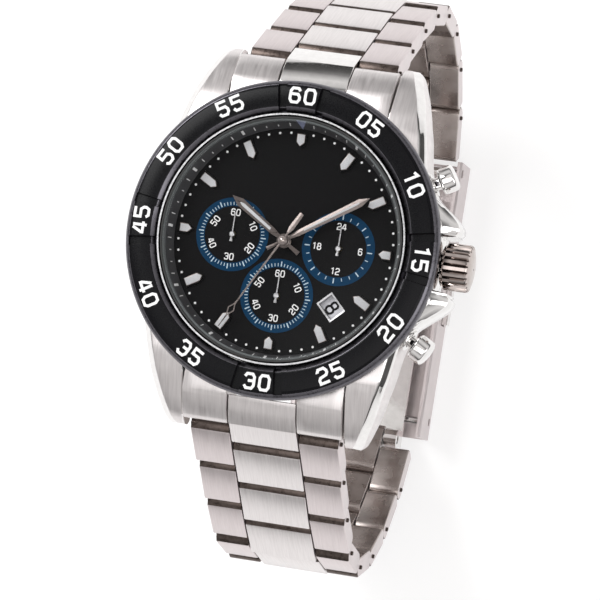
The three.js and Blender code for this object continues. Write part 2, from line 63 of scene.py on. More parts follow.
def make_object(name, verts, faces, materials, body, slot, sharp_deg=35.0, matrix=None):
    """A mesh object from points in millimetres, riding on a CAD body."""
    mesh = bpy.data.meshes.new(name)
    mesh.from_pydata([(x * MM, y * MM, z * MM) for x, y, z in verts], [], faces)
    mesh.validate()
    mesh.update()
    mesh.polygons.foreach_set("use_smooth", [True] * len(mesh.polygons))
    mesh.set_sharp_from_angle(angle=math.radians(sharp_deg))
    obj = bpy.data.objects.new(name, mesh)
    SCENE.collection.objects.link(obj)
    for material in materials:
        mesh.materials.append(material)
    if matrix is not None:
        obj.matrix_world = matrix
    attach(obj, body)
    return obj


class Builder:
    """Collects points and faces of one or more closed shells.

    A face's kind is its place in the piece's list of materials.
    """

    def __init__(self):
        self.verts = []
        self.faces = []
        self.kinds = []

    def add(self, verts, faces, kinds):
        base = len(self.verts)
        self.verts.extend(verts)
        self.faces.extend(tuple(base + i for i in f) for f in faces)
        self.kinds.extend(kinds)

    def loft(self, sections, kind=0, closed_path=False, kinds=None):
        """Joins sections, each the same number of points round a closed outline.

        kinds gives each strip of faces along the sections its kind, and kind the two ends.
        """
        count = len(sections[0])
        verts = [p for s in sections for p in s]
        faces = []
        face_kinds = []
        last = len(sections) if closed_path else len(sections) - 1
        for i in range(last):
            a = i * count
            b = ((i + 1) % len(sections)) * count
            for j in range(count):
                k = (j + 1) % count
                faces.append((a + j, a + k, b + k, b + j))
                face_kinds.append(kinds[j] if kinds else kind)
        if not closed_path:
            faces.append(tuple(reversed(range(count))))
            faces.append(tuple(range(len(verts) - count, len(verts))))
            face_kinds += [kind, kind]
        self.add(verts, faces, face_kinds)

    def finish(self, name, material, body, **options):
        """Makes the piece, with one material or a list of them."""
        several = isinstance(material, list)
        materials = material if several else [material]
        obj = make_object(name, self.verts, self.faces, materials, body, **options)
        if several and len(obj.data.polygons) == len(self.kinds):
            obj.data.polygons.foreach_set("material_index", self.kinds)
        orient_outward(obj)
        return obj


def orient_outward(obj):
    """Turns every face's normal out of its shell."""
    bm = bmesh.new()
    bm.from_mesh(obj.data)
    bmesh.ops.recalc_face_normals(bm, faces=bm.faces)
    bm.to_mesh(obj.data)
    bm.free()


def turned_shell(builder, profile, segments, kinds=None, place=None):
    """A closed ring or solid of revolution about Z: profile is a closed outline of (r, z)."""
    sections = []
    for i in range(segments):
        a = 2 * math.pi * i / segments
        sections.append([(r * math.cos(a), r * math.sin(a), z) for r, z in profile])
    if place:
        sections = [[place(p) for p in s] for s in sections]
    builder.loft(sections, closed_path=True, kinds=kinds)


def solid_of_revolution(builder, profile, segments, kind=0, place=None):
    """A closed solid: profile of (r, z) from the axis at one end to the axis at the other."""
    place = place or (lambda p: p)
    (_, z0), *middle, (_, z1) = profile
    verts = [place((0, 0, z0))]
    for r, z in middle:
        for i in range(segments):
            a = 2 * math.pi * i / segments
            verts.append(place((r * math.cos(a), r * math.sin(a), z)))
    verts.append(place((0, 0, z1)))
    faces = []
    for i in range(segments):
        faces.append((0, 1 + (i + 1) % segments, 1 + i))
    for ring in range(len(middle) - 1):
        a = 1 + ring * segments
        b = a + segments
        for i in range(segments):
            k = (i + 1) % segments
            faces.append((a + i, a + k, b + k, b + i))
    top = len(verts) - 1
    a = 1 + (len(middle) - 1) * segments
    for i in range(segments):
        faces.append((a + i, a + (i + 1) % segments, top))
    builder.add(verts, faces, [kind] * len(faces))


def arc(cx, cy, r, a0, a1, steps):
    """Points of a circle's arc between two angles in degrees."""
    angles = [math.radians(a0 + (a1 - a0) * i / steps) for i in range(steps + 1)]
    return [(cx + r * math.cos(a), cy + r * math.sin(a)) for a in angles]


def inset(points, d):
    """A convex outline moved inwards by d."""
    out = []
    n = len(points)
    area = sum(p[0] * q[1] - q[0] * p[1] for p, q in zip(points, points[1:] + points[:1]))
    turn = 1 if area > 0 else -1
    for i in range(n):
        p0, p1, p2 = Vector(points[i - 1]), Vector(points[i]), Vector(points[(i + 1) % n])
        e1, e2 = (p1 - p0).normalized(), (p2 - p1).normalized()
        n1, n2 = Vector((-e1.y, e1.x)) * turn, Vector((-e2.y, e2.x)) * turn
        m = n1 + n2
        if m.length < 1e-6:
            m = n1
        m.normalize()
        out.append(tuple(p1 + m * (d / max(0.5, m.dot(n1)))))
    return out


def rounded_prism(builder, outline, x0, x1, r, kinds=None, kind=0):
    """A prism along X of a (y, z) outline, its end edges rounded by r."""
    steps = 3
    offsets = []
    for i in range(steps + 1):
        a = math.pi / 2 * i / steps
        offsets.append((r * (1 - math.sin(a)), r * (1 - math.cos(a))))
    ends = [(x0 + along, depth) for depth, along in offsets]
    ends += [(x1 - along, depth) for depth, along in reversed(offsets)]
    sections = []
    for x, depth in ends:
        ring = inset(outline, depth) if depth > 1e-6 else outline
        sections.append([(x, y, z) for y, z in ring])
    builder.loft(sections, kind=kind, kinds=kinds)


# ---- materials ----
def new_material(name, base, metallic, roughness, **sockets):
    material = bpy.data.materials.new(name)
    material.use_nodes = True
    shader = material.node_tree.nodes["Principled BSDF"]
    shader.inputs["Base Color"].default_value = (*base, 1.0)
    shader.inputs["Metallic"].default_value = metallic
    shader.inputs["Roughness"].default_value = roughness
    for key, value in sockets.items():
        shader.inputs[key.replace("_", " ")].default_value = value
    return material


NOISE_LOW, NOISE_HIGH = 0.3, 0.7  # most of the noise lies between these
RELIEF = 0.02 * MM  # how deep a full bump is
ALONG = 250.0  # noise cells a metre along the brushing
ACROSS = 5200.0  # and across it
BRUSHED = (ACROSS, ALONG, ALONG)


def grainy(name, dark, light, cells, roughness, spread, metallic=0.0, bump=0.0, **sockets):
    """A material whose colour, roughness and relief follow one noise.

    dark and light are the ends of its colour, spread is how far the roughness strays, and
    cells is the noise's cells a metre, one number or one for each axis.
    """
    base = [(low + high) / 2 for low, high in zip(dark, light)]
    material = new_material(name, base, metallic, roughness, **sockets)
    nodes, links = material.node_tree.nodes, material.node_tree.links
    shader = nodes["Principled BSDF"]
    coords = nodes.new("ShaderNodeTexCoord")
    mapping = nodes.new("ShaderNodeMapping")
    mapping.inputs["Scale"].default_value = cells if isinstance(cells, tuple) else (cells,) * 3
    noise = nodes.new("ShaderNodeTexNoise")
    noise.inputs["Scale"].default_value = 1.0
    noise.inputs["Detail"].default_value = 3.0
    noise.inputs["Roughness"].default_value = 0.6
    links.new(coords.outputs["Object"], mapping.inputs["Vector"])
    links.new(mapping.outputs["Vector"], noise.inputs["Vector"])
    shine = nodes.new("ShaderNodeMapRange")
    shine.inputs["From Min"].default_value = NOISE_LOW
    shine.inputs["From Max"].default_value = NOISE_HIGH
    shine.inputs["To Min"].default_value = max(0.02, roughness - spread)
    shine.inputs["To Max"].default_value = roughness + spread
    links.new(noise.outputs["Fac"], shine.inputs["Value"])
    links.new(shine.outputs["Result"], shader.inputs["Roughness"])
    if bump > 0:
        relief = nodes.new("ShaderNodeBump")
        relief.inputs["Strength"].default_value = bump
        relief.inputs["Distance"].default_value = RELIEF
        links.new(noise.outputs["Fac"], relief.inputs["Height"])
        links.new(relief.outputs["Normal"], shader.inputs["Normal"])
    ramp = nodes.new("ShaderNodeValToRGB")
    ends = ramp.color_ramp.elements
    for end, place, colour in ((ends[0], NOISE_LOW, dark), (ends[1], NOISE_HIGH, light)):
        end.position = place
        end.color = (*colour, 1.0)
    links.new(noise.outputs["Fac"], ramp.inputs["Fac"])
    links.new(ramp.outputs["Color"], shader.inputs["Base Color"])
    return material


brushed_steel = grainy(
    "brushed_steel", (0.66, 0.625, 0.62), (0.78, 0.745, 0.74), BRUSHED,
    roughness=0.36, spread=0.06, metallic=1.0, bump=0.14,
)
polished_steel = grainy(
    "polished_steel", (0.74, 0.725, 0.715), (0.82, 0.805, 0.795), 900,
    roughness=0.07, spread=0.03, metallic=1.0, bump=0.02,
)
# A darker, warm polished steel: on the crown the darkness is painted dark reflection, and on the
# seconds hand's pin the warm tone is its golden colour.
warm_tone_and_painted_reflection = grainy(
    "warm_tone_and_painted_reflection", (0.42, 0.36, 0.335), (0.52, 0.46, 0.435), 900,
    roughness=0.09, spread=0.03, metallic=1.0, bump=0.02,
)
# Painted shade: a darker copy of the brushed steel for the outer link rows and the clasp cover.
outer_row_and_clasp_shade_painted = grainy(
    "outer_row_and_clasp_shade_painted", (0.6, 0.54, 0.54), (0.7, 0.64, 0.64), BRUSHED,
    roughness=0.38, spread=0.06, metallic=1.0, bump=0.14,
)
# Painted shade: a darker steel for the links' faces against the wrist.
wrist_face_shade_painted = grainy(
    "wrist_face_shade_painted", (0.36, 0.31, 0.29), (0.5, 0.45, 0.43), (ALONG, ALONG, ACROSS),
    roughness=0.28, spread=0.08, metallic=1.0, bump=0.1,
)
# Painted shade: a darker dull steel for the inside of the case.
case_inside_shade_painted = grainy(
    "case_inside_shade_painted", (0.24, 0.205, 0.19), (0.36, 0.32, 0.3), 1200,
    roughness=0.33, spread=0.08, metallic=1.0, bump=0.1,
)
# Painted shade: a dark brown steel for the crown's flute valleys, the links' ends nearest the case
# and the bracelet's pins.
shade_painted_brown = grainy(
    "shade_painted_brown", (0.065, 0.05, 0.044), (0.125, 0.1, 0.09), 1500,
    roughness=0.3, spread=0.06, metallic=1.0, bump=0.05,
)
bezel_black = grainy(
    "bezel_black", (0.002, 0.002, 0.003), (0.0045, 0.0045, 0.0055), 6000,
    roughness=0.24, spread=0.04, bump=0.03, Specular_IOR_Level=0.12,
)
# Painted sheen: a grey metal for the black bezel's rim, its bevel round the crystal and its groove
# walls.
bezel_sheen_painted = grainy(
    "bezel_sheen_painted", (0.11, 0.105, 0.12), (0.15, 0.145, 0.16), 2000,
    roughness=0.3, spread=0.06, metallic=1.0, bump=0.05,
)
print_white = grainy(
    "print_white", (0.78, 0.78, 0.78), (0.86, 0.86, 0.86), 3000,
    roughness=0.45, spread=0.08,
)
lume_white = grainy(
    "lume_white", (0.47, 0.475, 0.49), (0.54, 0.545, 0.56), 7000,
    roughness=0.6, spread=0.1, bump=0.3,
)
dial_black = grainy(
    "dial_black", (0.002, 0.002, 0.0025), (0.0038, 0.0038, 0.0042), 5000,
    roughness=0.55, spread=0.06, Specular_IOR_Level=0.06,
)
chapter_black = grainy(
    "chapter_black", (0.038, 0.038, 0.041), (0.055, 0.055, 0.058), 4000,
    roughness=0.45, spread=0.08, bump=0.1,
)
blue_ring = grainy(
    "blue_ring", (0.0005, 0.027, 0.068), (0.0007, 0.035, 0.088), 4000,
    roughness=0.45, spread=0.05, bump=0.05, Specular_IOR_Level=0.06,
)
marker_blue = grainy(
    "marker_blue", (0.18, 0.2, 0.3), (0.22, 0.24, 0.36), 4000,
    roughness=0.4, spread=0.05,
)
blue_print = grainy(
    "blue_print", (0.36, 0.48, 0.57), (0.5, 0.63, 0.72), 4000,
    roughness=0.5, spread=0.05,
)
hand_steel = grainy(
    "hand_steel", (0.16, 0.135, 0.125), (0.23, 0.2, 0.19), (600, 4000, 4000),
    roughness=0.3, spread=0.04, metallic=1.0, bump=0.1,
)
index_steel = grainy(
    "index_steel", (0.44, 0.44, 0.45), (0.58, 0.58, 0.59), 3000,
    roughness=0.3, spread=0.05, metallic=1.0, bump=0.05,
)
date_grey = grainy(
    "date_grey", (0.58, 0.58, 0.62), (0.67, 0.67, 0.71), 3000,
    roughness=0.5, spread=0.05,
)
brass = grainy(
    "brass", (0.5, 0.38, 0.18), (0.6, 0.47, 0.24), (800, 4000, 800),
    roughness=0.3, spread=0.08, metallic=1.0, bump=0.1,
)
rubber = grainy(
    "rubber", (0.015, 0.015, 0.015), (0.03, 0.03, 0.03), 2000,
    roughness=0.7, spread=0.1, bump=0.3,
)
holder_plastic = grainy(
    "holder_plastic", (0.66, 0.66, 0.64), (0.74, 0.74, 0.72), 1500,
    roughness=0.55, spread=0.08, bump=0.1,
)
glass = new_material("crystal_glass", (0.0, 0.0, 0.0), 0.0, 0.25, Alpha=0.04, IOR=1.5)
glass.surface_render_method = "BLENDED"
glass_edge = new_material("crystal_edge", (0.6, 0.66, 0.66), 0.0, 0.08, Alpha=0.1, IOR=1.5)
glass_edge.surface_render_method = "BLENDED"


# ---- the CAD nodes that stay keep their shape and get these finishes ----
def dress(node, material):
    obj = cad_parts[node]
    obj.data.materials.clear()
    obj.data.materials.append(material)


for material, kept_nodes in (
    (rubber, ("caseback_gasket", "crystal_gasket")),
    (holder_plastic, ("movement_holder",)),
    (brass, ("movement_plate", "hour_wheel", "hour24_wheel")),
    (brass, ("chrono_minutes_wheel", "small_seconds_wheel")),
    (polished_steel, ("bezel_spring", "battery", "crown_stem", "crown_tube")),
    (polished_steel, ("spring_bar_12", "spring_bar_6", "end_link_pin_12")),
    (polished_steel, ("clasp_pin_cover", "clasp_pin_middle", "clasp_end_pin", "clasp_spring_bar")),
    (polished_steel, ("clasp_blade_outer", "clasp_blade_inner")),
    (polished_steel, ("clasp_button_left", "clasp_button_right")),
    # the clasp cover takes the darker steel of painted shade
    (outer_row_and_clasp_shade_painted, ("clasp_cover",)),
    (date_grey, ("date_ring",)),
    (dial_black, ("dial",)),
    (chapter_black, ("chapter_ring",)),
):
    for node in kept_nodes:
        dress(node, material)

# ---- digits drawn as strokes, in a box one wide and one high ----
CUT = 0.2  # how much is cut off each corner
DIGITS = {
    "0": [[(0, CUT), (0, 1 - CUT), (CUT, 1), (1 - CUT, 1), (1, 1 - CUT), (1, CUT), (1 - CUT, 0),
        (CUT, 0), (0, CUT)]],
    "1": [[(0.25, 0.84), (0.7, 1), (0.7, 0)]],
    "2": [[(0, 0.78), (0, 1 - CUT), (CUT, 1), (1 - CUT, 1), (1, 1 - CUT), (1, 0.64), (0.84, 0.5),
        (0.16, 0.4), (0, 0.26), (0, 0), (1, 0)]],
    "3": [[(0, 0.8), (CUT, 1), (1 - CUT, 1), (1, 1 - CUT), (1, CUT), (1 - CUT, 0), (CUT, 0),
        (0, 0.2)], [(0.35, 0.52), (1, 0.52)]],
    "4": [[(0.76, 0), (0.76, 1)], [(0.5, 1), (0, 0.36), (0, 0.26), (1.1, 0.26)]],
    "5": [[(1, 1), (0, 1), (0, 0.58), (1 - CUT, 0.58), (1, 0.58 - CUT), (1, CUT), (1 - CUT, 0),
        (CUT, 0), (0, 0.18)]],
    "6": [[(1, 0.82), (1 - CUT, 1), (CUT, 1), (0, 1 - CUT), (0, CUT), (CUT, 0), (1 - CUT, 0),
        (1, CUT), (1, 0.58 - CUT), (1 - CUT, 0.58), (0, 0.58)]],
    "8": [[(0, CUT), (0, 0.36), (0.2, 0.53), (0.8, 0.53), (1, 0.36), (1, CUT), (1 - CUT, 0),
        (CUT, 0), (0, CUT)], [(0.2, 0.53), (0.08, 0.67), (0.08, 0.86), (0.26, 1), (0.74, 1),
        (0.92, 0.86), (0.92, 0.67), (0.8, 0.53)]],
}


def stroke(builder, points, width, low, high, place):
    """A raised strip of one width along a line of points, mitred at its corners."""
    closed = points[0] == points[-1]
    line = [Vector(p) for p in (points[:-1] if closed else points)]
    n = len(line)
    left, right = [], []
    for i, p in enumerate(line):
        before = line[i - 1] if (closed or i > 0) else None
        after = line[(i + 1) % n] if (closed or i < n - 1) else None
        e1 = (p - before).normalized() if before is not None else None
        e2 = (after - p).normalized() if after is not None else None
        e1, e2 = e1 or e2, e2 or e1
        n1, n2 = Vector((-e1.y, e1.x)), Vector((-e2.y, e2.x))
        m = (n1 + n2).normalized()
        reach = width / 2 / max(0.55, m.dot(n1))
        left.append(p + m * reach)
        right.append(p - m * reach)
    sections = []
    for l, r in zip(left, right):
        edges = ((l, low), (l, high), (r, high), (r, low))
        sections.append([place(p.x, p.y, z) for p, z in edges])
    builder.loft(sections, closed_path=closed)


STROKE_STEP = 0.003  # a digit's second stroke stands this much higher than its first


def write(builder, text, centre, angle, height, digit_width, pitch, width, low, high, slope=None):
    """Digits centred at a place on the dial, their tops turned clockwise from 12 by angle.

    pitch is from one digit to the next, and width is a stroke's.
    """
    up, right = clock_axes(angle)
    span = pitch * (len(text) - 1) + digit_width
    for i, digit in enumerate(text):
        x0 = -span / 2 + pitch * i

        def place(x, y, z, x0=x0):
            p = Vector(centre) + right * (x0 + x) + up * (y - height / 2)
            lift = slope(p.length) if slope else 0.0
            return (p.x, p.y, z + lift)

        for k, line in enumerate(DIGITS[digit]):
            scaled = [(x * digit_width, y * height) for x, y in line]
            stroke(builder, scaled, width, low, high + STROKE_STEP * k, place)


def radial_mark(builder, centre, angle, r0, r1, width, low, high, slope=None):
    """A thin raised bar along a radius of a dial."""
    out, side = clock_axes(angle)
    corners = []
    for z in (low, high):
        for r, s in ((r0, -1), (r1, -1), (r1, 1), (r0, 1)):
            p = Vector(centre) + out * r + side * (s * width / 2)
            lift = slope(r) if slope else 0.0
            corners.append((p.x, p.y, z + lift))
    faces = [(3, 2, 1, 0), (4, 5, 6, 7)]
    faces += [(i, (i + 1) % 4, (i + 1) % 4 + 4, i + 4) for i in range(4)]
    builder.add(corners, faces, [0] * len(faces))


# ---- bezel ----
GROOVE_DEPTH = 0.62
GROOVE_HALF = 1.4  # degrees
GROOVE_OFFSET = 8.2  # degrees each side of the quarter numerals
GROOVE_WALL = 0.35  # degrees from its floor to the bezel's top
GROOVE_CLEAR = 0.45  # degrees beside it with no section but the wall's
BEZEL_SECTIONS = 180
groove_angles = [q + s * GROOVE_OFFSET for q in (0, 90, 180, 270) for s in (-1, 1)]


def apart(a, b):
    """The angle between two directions, in degrees."""
    return abs((a - b + 180) % 360 - 180)


def bezel_angles():
    """Angles round the bezel, with extra ones at each groove's edges."""
    angles = {round(i * 360 / BEZEL_SECTIONS, 4) for i in range(BEZEL_SECTIONS)}
    outside = GROOVE_HALF + GROOVE_WALL
    for g in groove_angles:
        g %= 360
        angles = {a for a in angles if apart(a, g) > GROOVE_HALF + GROOVE_CLEAR}
        for off in (-outside, -GROOVE_HALF, GROOVE_HALF, outside):
            angles.add(round((g + off) % 360, 4))
    return sorted(angles)


def groove_at(angle):
    grooved = any(apart(angle, g) <= GROOVE_HALF + 0.01 for g in groove_angles)
    return GROOVE_DEPTH if grooved else 0.0


# Radius, height, and share of the groove's depth.
bezel_profile = [
    (16.72, 9.0, 0), (18.0, 9.0, 0), (18.0, 9.7, 0), (19.0, 9.7, 0), (19.0, 9.0, 0),
    (20.75, 9.0, 0), (20.95, 9.15, 0), (21.0, 9.4, 0), (21.0, 10.25, 0), (20.93, 10.5, 0),
    (20.72, 10.78, 0), (20.42, 11.02, 0), (20.34, 11.04, 0.5), (20.3, 11.16, 0.8), (20.12, 11.3, 1),
    (19.9, 11.35, 1), (17.6, 11.485, 1), (17.42, 11.46, 1), (17.3, 11.38, 1), (16.82, 10.95, 1),
    (16.72, 10.8, 0.5), (16.72, 10.4, 0),
]
# Numbers of the profile's edges.
GREY_FACES = [*range(5, 12), 17, 18, 19]  # the rim, and the bevel round the crystal, grey as painted sheen
WALL_FACES = range(5, 20)  # a groove's side walls, grey too as painted sheen
sections = []
depths = [groove_at(angle) for angle in bezel_angles()]
for angle, depth in zip(bezel_angles(), depths):
    c, s = cos_sin(90 - angle)
    sections.append([(r * c, r * s, z - depth * share) for r, z, share in bezel_profile])
builder = Builder()
bezel_kinds = [1 if j in GREY_FACES else 0 for j in range(len(bezel_profile))]
builder.loft(sections, closed_path=True, kinds=bezel_kinds)
for i, depth in enumerate(depths):
    if depth != depths[(i + 1) % len(depths)]:
        for j in WALL_FACES:
            builder.kinds[i * len(bezel_profile) + j] = 1
bezel = builder.finish(
    "bezel_ring", [bezel_black, bezel_sheen_painted], "bezel", sharp_deg=30, slot="black_metal"
)
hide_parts("bezel")


TOP_INNER_R, TOP_WIDTH, TOP_FALL = 17.35, 2.55, 0.15


def bezel_slope(r):
    """The height of the bezel's top at a radius, from that of its inner edge."""
    return -(r - TOP_INNER_R) * TOP_FALL / TOP_WIDTH


NUMERAL_R = 18.92
numerals = Builder()
for minute in range(5, 65, 5):
    angle = minute * 6
    inward = 100 < angle < 260  # the lower numerals have their tops toward the dial
    write(
        numerals,
        f"{minute:02d}",
        clock_point(NUMERAL_R, angle),
        angle + 180 if inward else angle,
        height=1.86, digit_width=1.26, pitch=2.02, width=0.37,
        low=11.4, high=11.53, slope=bezel_slope,
    )
numerals.finish("bezel_numerals", print_white, "bezel", slot="white_print")

# ---- case ----
case_profile = [
    (16.75, 1.2), (19.3, 1.2), (19.75, 1.4), (20.3, 2.4), (20.3, 8.2), (20.1, 8.6), (19.8, 8.7),
    (16.66, 8.7), (16.66, 11.1), (16.56, 11.22), (16.34, 11.22), (16.25, 11.1), (16.25, 7.5),
    (15.75, 7.5), (15.75, 1.75), (16.75, 1.75),
]
# The neck round the crystal is black with a bright top edge, and the inside is dull, its steel
# darkened as painted shade.
CASE_FACES = {7: 2, 8: 2, 9: 3, 10: 2, 11: 2, 12: 1, 13: 1, 14: 1}
case_kinds = [CASE_FACES.get(j, 0) for j in range(len(case_profile))]
builder = Builder()
turned_shell(builder, case_profile, 160, kinds=case_kinds)
case_finishes = [polished_steel, case_inside_shade_painted, bezel_black, index_steel]
case_middle = builder.finish("case_middle", case_finishes, "head", slot="polished_steel")
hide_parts("case_body")

LUG_INNER_X = 11.0
CASE_HOLLOW_R = 17.5
# Distance from the middle along Y, and the case's half-width there.
lug_side = [
    (25.3, 12.9), (25.0, 13.3), (24.5, 13.65), (23.2, 14.2), (21.4, 14.9), (19.5, 15.5),
    (16.4, 16.3),
]
crown_side = lug_side + [
    (12.9, 16.85), (11.9, 17.05), (11.2, 17.3), (9.8, 17.8), (9.0, 18.2), (8.4, 18.85), (7.0, 20.6),
    (5.9, 22.0), (5.1, 22.6), (4.4, 22.65), (3.8, 22.3), (3.6, 21.2), (3.5, 20.4), (0.0, 20.35),
]
plain_side = lug_side + [(12.9, 17.3), (8.4, 18.8), (4.0, 19.9), (0.0, 20.35)]
# The same distance, and the height of the top and of the underside there.
lug_top = [
    (0.0, 8.45), (16.5, 8.4), (18.5, 7.8), (20.0, 6.95), (22.5, 5.45), (24.3, 4.1), (25.0, 3.0),
    (25.3, 2.2),
]
lug_bottom = [(0.0, 1.25), (18.0, 1.2), (22.0, 0.0), (24.0, -0.55), (24.8, -0.4), (25.3, 0.5)]


def between(table, x):
    """Linear interpolation in a table of (x, value) rows."""
    rows = sorted(table)
    if x <= rows[0][0]:
        return rows[0][1]
    for (x0, v0), (x1, v1) in zip(rows, rows[1:]):
        if x <= x1:
            return v0 + (v1 - v0) * (x - x0) / (x1 - x0)
    return rows[-1][1]


def smooth_between(table, x):
    offsets = (-0.5, -0.25, 0, 0.25, 0.5)
    return sum(between(table, abs(x + o)) for o in offsets) / len(offsets)


GUARD_Y = 12  # nearer the middle than this, the bevel is wider and flatter
BULGE_Y = 12.5  # and nearer than this it is rounded


def flank_section(y, side_table, sign):
    """The case's wall and lug at one place along Y, as a closed outline in X and Z."""
    ay = abs(y)
    x_out = between(side_table, ay) if ay > 24 or 3 < ay < 4 else smooth_between(side_table, y)
    top = smooth_between(lug_top, y) if ay < 24.4 else between(lug_top, ay)
    bottom = between(lug_bottom, ay)
    hollow = math.sqrt(max(0.0, CASE_HOLLOW_R**2 - ay**2))
    x_in = max(LUG_INNER_X, hollow)
    inwards = max(0.0, GUARD_Y - ay)
    chamfer = min(1.05 + inwards * 0.16, (x_out - x_in) * 0.5)
    steepness = max(0.5, 1.1 - inwards * 0.3)
    drop = min(chamfer * steepness, (top - bottom) * 0.45)
    lower = min(0.7, (top - bottom) * 0.2)
    bulge = min(0.22, max(0.0, BULGE_Y - ay) * 0.08)
    points = [
        (x_in, bottom + 0.2),
        (x_in, top - 0.15),
        (x_in + 0.12, top),
        (x_out - chamfer - 0.06, top),
        (x_out - chamfer + 0.06, top - 0.05),
        (x_out - chamfer * 0.66 + bulge * 0.5, top - drop * 0.34 + bulge * 0.3),
        (x_out - chamfer * 0.33 + bulge * 0.4, top - drop * 0.67 + bulge * 0.3),
        (x_out - 0.05, top - drop + 0.06),
        (x_out, top - drop - 0.08),
        (x_out, bottom + lower + 0.1),
        (x_out - 0.08, bottom + lower - 0.08),
        (x_out - lower, bottom),
        (x_in + 0.2, bottom),
    ]
    return [(sign * x, y, z) for x, z in points]


def along_flank():
    """The places along Y of the flank's sections."""
    marks = {0.0, 3.45, 3.5, 3.6, 3.8, 17.0, 17.01, 25.3}
    marks |= {round(0.45 * i, 3) for i in range(54)}
    marks |= {24.5, 24.7, 24.9, 25.05, 25.2}
    steps = sorted(marks)
    return [-y for y in reversed(steps) if y > 0] + steps


# A section's faces: 0 is brushed, on the top and the flank, and 1 is polished.
FLANK_KINDS = [1, 1, 0, 0, 1, 1, 1, 1, 0, 0, 1, 1, 1]
POLISHED_Y = 11.5  # nearer the middle than this, the whole side is polished
for name, side_table, sign in (("crown_side", crown_side, 1), ("plain_side", plain_side, -1)):
    builder = Builder()
    sections = [flank_section(y, side_table, sign) for y in along_flank()]
    builder.loft(sections, kinds=FLANK_KINDS, kind=1)
    for i, y in enumerate(along_flank()[:-1]):
        if abs(y) < POLISHED_Y:
            first = i * len(FLANK_KINDS)
            builder.kinds[first : first + len(FLANK_KINDS)] = [1] * len(FLANK_KINDS)
    builder.finish(
        f"case_{name}", [brushed_steel, polished_steel], "head", sharp_deg=32, slot="brushed_steel"
    )

# The back: a stepped disc with six notches in its rim for the case wrench.
NOTCHES, NOTCH_HALF = 6, 3.1
NOTCH_STEP = 360 // NOTCHES
# Radius, height, and height in a notch.
back_profile = [
    (14.4, 2.3, 2.3), (15.6, 2.3, 2.3), (15.6, 1.1, 1.1), (17.1, 1.1, 1.1), (17.2, 1.0, 1.0),
    (17.2, 0.55, 0.72), (17.1, 0.42, 0.7), (16.65, 0.05, 0.68), (16.5, 0.0, 0.66),
    (15.75, 0.0, 0.64), (15.6, 0.04, 0.1), (14.2, 0.0, 0.0), (14.05, 0.14, 0.14),
    (13.75, 0.14, 0.14), (13.6, 0.0, 0.0), (5.0, 0.0, 0.0), (0.3, 0.0, 0.0), (0.3, 1.25, 1.25),
    (14.4, 1.3, 1.3),
]
BRUSHED_BACK = range(13, 17)  # the profile's edges in the middle
back_angles = set()
for i in range(NOTCHES):
    for off in (-NOTCH_HALF - 0.3, -NOTCH_HALF, -1, 1, NOTCH_HALF, NOTCH_HALF + 0.3):
        back_angles.add((i * NOTCH_STEP + off) % 360)
    back_angles |= {i * NOTCH_STEP + off for off in range(5, 58, 3)}
sections = []
for angle in sorted(back_angles):
    notched = apart(angle, round(angle / NOTCH_STEP) * NOTCH_STEP) <= NOTCH_HALF + 0.01
    c, k = cos_sin(angle)
    sections.append([(r * c, r * k, low if notched else z) for r, z, low in back_profile])
builder = Builder()
back_kinds = [1 if j in BRUSHED_BACK else 0 for j in range(len(back_profile))]
builder.loft(sections, closed_path=True, kinds=back_kinds)
back = builder.finish(
    "caseback_body", [polished_steel, brushed_steel], "head", slot="polished_steel"
)
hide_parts("caseback")

# The crystal: a flat disc with a polished bevel round its edge.
CRYSTAL_SEGMENTS = 96
builder = Builder()
solid_of_revolution(
    builder,
    [(0, 10.4), (15.6, 10.4), (15.85, 10.5), (15.85, 11.2), (15.6, 11.4), (0, 11.4)],
    CRYSTAL_SEGMENTS,
)
EDGE_FACES = range(CRYSTAL_SEGMENTS, 4 * CRYSTAL_SEGMENTS)
builder.kinds = [1 if k in EDGE_FACES else 0 for k in range(len(builder.kinds))]
crystal = builder.finish("crystal_disc", [glass, glass_edge], "head", slot="glass")
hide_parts("crystal")

# ---- dial ----
DIAL_Z = 8.05
CHAPTER_R, CHAPTER_Z = 15.0, 8.2  # the sloping ring's inner edge
DOTS_R, DOT_SIZE = 14.42, 0.16
INDEX_HALF = 0.7
LEFT, RIGHT, BOTTOM = (-7.2, 0.0), (7.2, 0.0), (0.0, -7.2)


def chapter_slope(r):
    """The height of the ring round the dial at a radius, from that of its inner edge."""
    return (r - CHAPTER_R) * 2.0 / 0.9 * 0.93


# Ticks on the sloping ring, and round dots between the indices.
ticks = Builder()
for i in range(60):
    width = 0.12 if i % 5 else 0.34
    z = CHAPTER_Z
    radial_mark(ticks, (0, 0), i * 6, 15.22, 15.6, width, z, z + 0.08, chapter_slope)
for i in range(60):
    if i % 5:
        circle = arc(*clock_point(DOTS_R, i * 6), DOT_SIZE, 0, 324, 9)
        ticks.loft([[(*p, DIAL_Z + lift) for p in circle] for lift in (-0.02, 0.02)])
ticks.finish("minute_track", print_white, "head", slot="white_print")

# A triangle over the 12, its point toward the dial.
builder = Builder()
marker = [clock_point(14.95, 0), clock_point(15.85, -2.5), clock_point(15.85, 2.5)]
layers = [
    [(x, y, z + chapter_slope(math.hypot(x, y))) for x, y in marker]
    for z in (CHAPTER_Z, CHAPTER_Z + 0.14)
]
builder.loft(layers)
builder.finish("twelve_marker", marker_blue, "head", slot="blue_ring")

